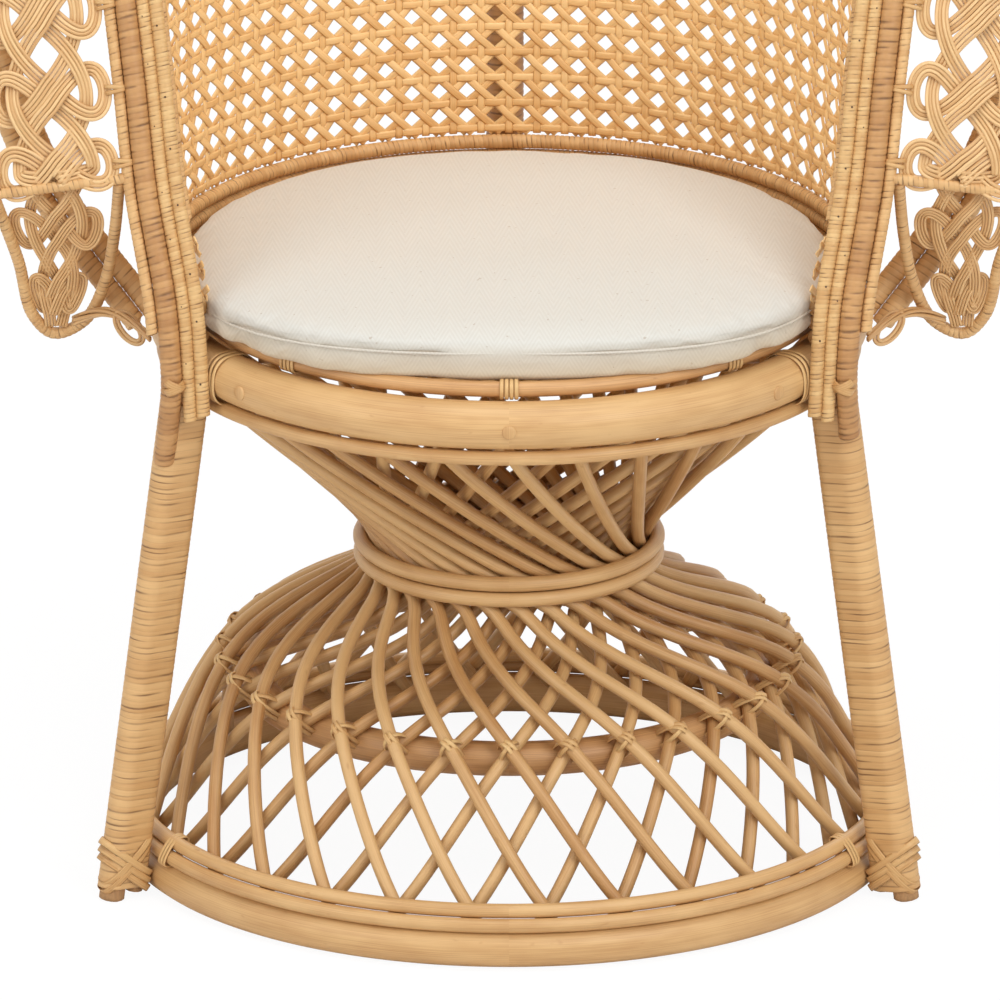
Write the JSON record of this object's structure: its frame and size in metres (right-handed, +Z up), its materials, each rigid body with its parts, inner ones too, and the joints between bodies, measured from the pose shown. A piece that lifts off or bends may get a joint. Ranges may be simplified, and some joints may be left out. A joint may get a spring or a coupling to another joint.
{
  "type": "peacock chair",
  "caption": "Rattan peacock chair with an hourglass base of crossing stakes, a round seat with a loose cushion, and a tall caned fan back with a knotwork border.",
  "frame": {"origin": "on the floor, under the middle of the chair's bounding box", "axes": "+Z up, the seat opens towards -Y, +X to the sitter's left"},
  "size_m": [0.9486, 0.698, 1.4668],
  "materials": {
    "rattan": "satin, bare rattan pole",
    "rattan_light": "satin, peeled pale rattan",
    "rattan_dark": "satin, bark-on rattan",
    "peel": "satin, wound rattan peel",
    "cane": "satin, woven cane",
    "cotton": "matt herringbone cotton"
  },
  "bodies": {
    "frame": {"base_ring": "rattan", "base_trim_ring_lower": "rattan", "base_trim_ring_upper": "rattan", "waist_ring_upper": "rattan", "waist_ring_lower": "rattan", "mid_hoop": "rattan_dark", "outer_stakes_1": "rattan", "inner_stakes_1": "rattan_dark", "outer_stakes_2": "rattan", "inner_stakes_2": "rattan_dark", "outer_stakes_3": "rattan", "inner_stakes_3": "rattan_dark", "outer_stakes_4": "rattan", "inner_stakes_4": "rattan_dark", "outer_stakes_5": "rattan", "inner_stakes_5": "rattan_dark", "outer_stakes_6": "rattan", "inner_stakes_6": "rattan_dark", "seat_rail": "rattan_light", "seat_rail_plug_left": "rattan", "seat_rail_plug_middle": "rattan", "seat_rail_plug_right": "rattan", "seat_under_ring": "rattan", "seat_deck_hoop": "rattan_dark", "seat_deck": "cane", "seat_cross_bar_front": "rattan_dark", "seat_cross_bar_middle": "rattan_dark", "seat_cross_bar_rear": "rattan_dark", "leg_left": "rattan_dark", "leg_backing_left": "rattan_dark", "leg_wrap_left": "peel", "leg_right": "rattan_dark", "leg_backing_right": "rattan_dark", "leg_wrap_right": "peel", "edge_strip_inner": "rattan_light", "edge_strip_outer": "peel", "side_post_arch": "peel", "border_inner_rail": "peel", "border_rim": "peel", "border_rim_trim": "rattan_light", "back_rail_1": "peel", "back_rail_2": "peel", "back_rail_3": "peel", "cane_panel": "cane", "back_centre_rib": "peel", "border_loop_strand_a": "rattan_light", "border_loop_strand_b": "rattan_light", "border_arc_strand_a": "rattan_light", "border_arc_strand_b": "rattan_light", "wing_frame_left": "peel", "wing_knot_left": "rattan", "wing_strut_inner_left": "peel", "wing_strut_outer_left": "peel", "wing_frame_right": "peel", "wing_knot_right": "rattan", "wing_strut_inner_right": "peel", "wing_strut_outer_right": "peel"},
    "cushion": {"seat_cushion": "cotton"}
  },
  "joints": [
    {"name": "cushion_lift", "type": "slide", "parent": "frame", "child": "cushion", "axis": [0, 0, 1], "range_m": [0, 0.25]}
  ]
}
